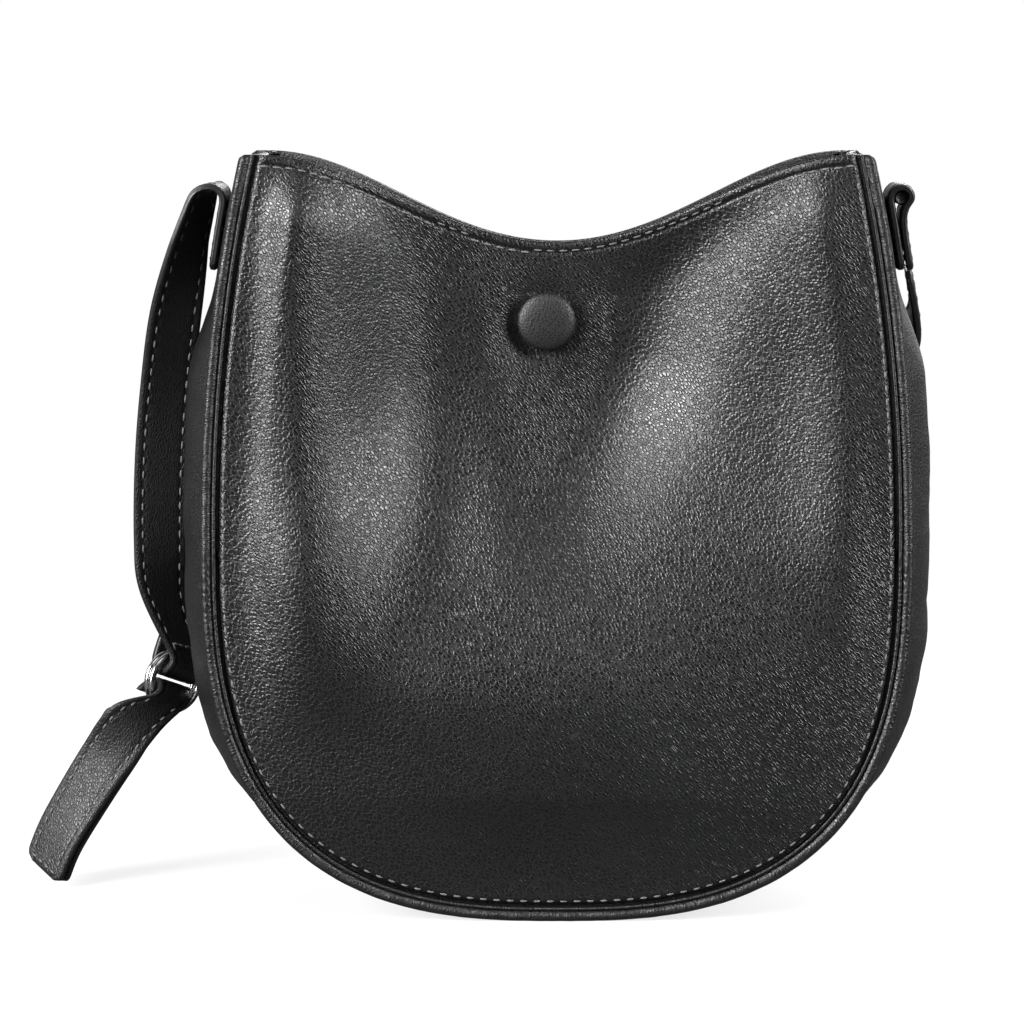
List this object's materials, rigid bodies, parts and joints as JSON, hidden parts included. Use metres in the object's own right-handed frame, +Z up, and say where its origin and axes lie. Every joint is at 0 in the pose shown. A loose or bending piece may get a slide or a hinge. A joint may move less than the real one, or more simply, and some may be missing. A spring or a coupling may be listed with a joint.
{
  "type": "saddle handbag",
  "caption": "Black leather saddle handbag standing on its base, with a piped bowl-shaped body, a snap button at the dipped mouth, and an adjustable side strap with rings.",
  "frame": {"origin": "centre of the flat underside of the base", "axes": "+Z up, +X to the viewer's right when the button faces the viewer, the front with the button faces -Y"},
  "size_m": [0.272, 0.0798, 0.222],
  "materials": {
    "leather": "soft pebbled grain with a low sheen",
    "piping_leather": "smooth stretched leather with a soft gloss",
    "piping_core": "matt cord",
    "lining_cloth": "fine matt cloth",
    "board": "matt board",
    "steel": "polished",
    "snap_metal": "satin",
    "thread": "waxed thread",
    "edge_paint": "satin edge paint"
  },
  "bodies": {
    "bag": {"back_panel": "leather", "gusset": "leather", "back_piping": "piping_leather", "back_piping_cord": "piping_core", "back_facing": "leather", "back_lining": "lining_cloth", "gusset_lining": "lining_cloth", "base_board": "board", "snap_stud": "snap_metal", "stud_washer": "snap_metal", "left_tab": "leather", "right_tab": "leather", "right_eye_core": "leather", "long_strap": "leather"},
    "front": {"front_panel": "leather", "front_piping": "piping_leather", "front_piping_cord": "piping_core", "front_facing": "leather", "front_lining": "lining_cloth", "button_cover": "leather", "button_shell": "snap_metal", "snap_socket": "snap_metal", "socket_washer": "snap_metal"},
    "strap_left": {"strap_left": "leather"},
    "rings": {"ring_front": "steel", "ring_rear": "steel"},
    "tail": {"tail_front": "leather", "tail_rear": "leather"}
  },
  "joints": [
    {"name": "mouth_open", "type": "hinge", "parent": "bag", "child": "front", "pos_m": [0, -0.035, 0.0016], "axis": [1, 0, 0], "range_deg": [0, 7], "deforming": ["gusset", "gusset_lining"]},
    {"name": "strap_swing", "type": "hinge", "parent": "bag", "child": "strap_left", "pos_m": [-0.10017, 0, 0.2124], "axis": [0, 1, 0], "range_deg": [0, 30]},
    {"name": "rings_swing", "type": "hinge", "parent": "strap_left", "child": "rings", "pos_m": [-0.11526, 0.02157, 0.0668], "axis": [0.689, 0.6204, -0.3746], "range_deg": [-5, 5]},
    {"name": "tail_flap", "type": "hinge", "parent": "rings", "child": "tail", "pos_m": [-0.12009, 0.01722, 0.05667], "axis": [-0.689, -0.6204, 0.3746], "range_deg": [0, 20]}
  ]
}
